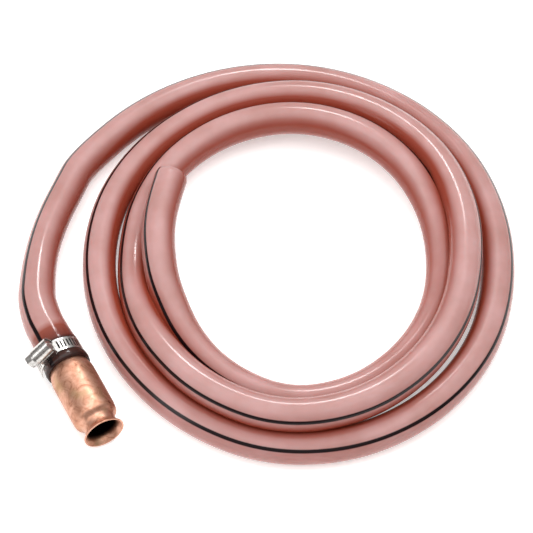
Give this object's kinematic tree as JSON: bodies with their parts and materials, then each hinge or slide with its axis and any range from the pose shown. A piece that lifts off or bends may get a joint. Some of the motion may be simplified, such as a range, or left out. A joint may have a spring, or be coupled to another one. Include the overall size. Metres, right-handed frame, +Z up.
{
  "type": "self-priming siphon hose",
  "caption": "Soft clear siphon hose lying in a loose coil, with a copper ball valve clamped into one end, for draining ponds, tanks and barrels.",
  "frame": {"origin": "centre of the valve's mouth, on the valve's axis", "axes": "+Y along the valve's axis from the mouth into the hose, +Z up from the surface that the siphon lies on"},
  "size_m": [0.296, 0.2788, 0.0404],
  "materials": {
    "copper": "formed copper tube, lightly tarnished",
    "glass_ball": "smooth clear glass",
    "stop_pin": "drawn wire",
    "hose": "soft translucent pink PVC with a black line",
    "clamp_steel": "bright rolled stainless strip",
    "screw_steel": "turned and plated steel"
  },
  "bodies": {
    "siphon": {"valve_body": "copper", "ball_stop_pin": "stop_pin", "hose_cuff": "hose", "hose_lead": "hose", "hose_coil": "hose", "hose_tail": "hose", "clamp_band": "clamp_steel", "clamp_saddle": "clamp_steel", "clamp_housing": "clamp_steel"},
    "ball": {"valve_ball": "glass_ball"},
    "screw": {"clamp_screw": "screw_steel"}
  },
  "joints": [
    {"name": "ball_slide", "type": "slide", "parent": "siphon", "child": "ball", "axis": [0, -1, 0], "range_m": [0, 0.02975]},
    {"name": "screw_turn", "type": "hinge", "parent": "siphon", "child": "screw", "pos_m": [-0.01047, 0.0555, 0.0134], "axis": [-0.788, 0, -0.6157], "continuous": true}
  ]
}
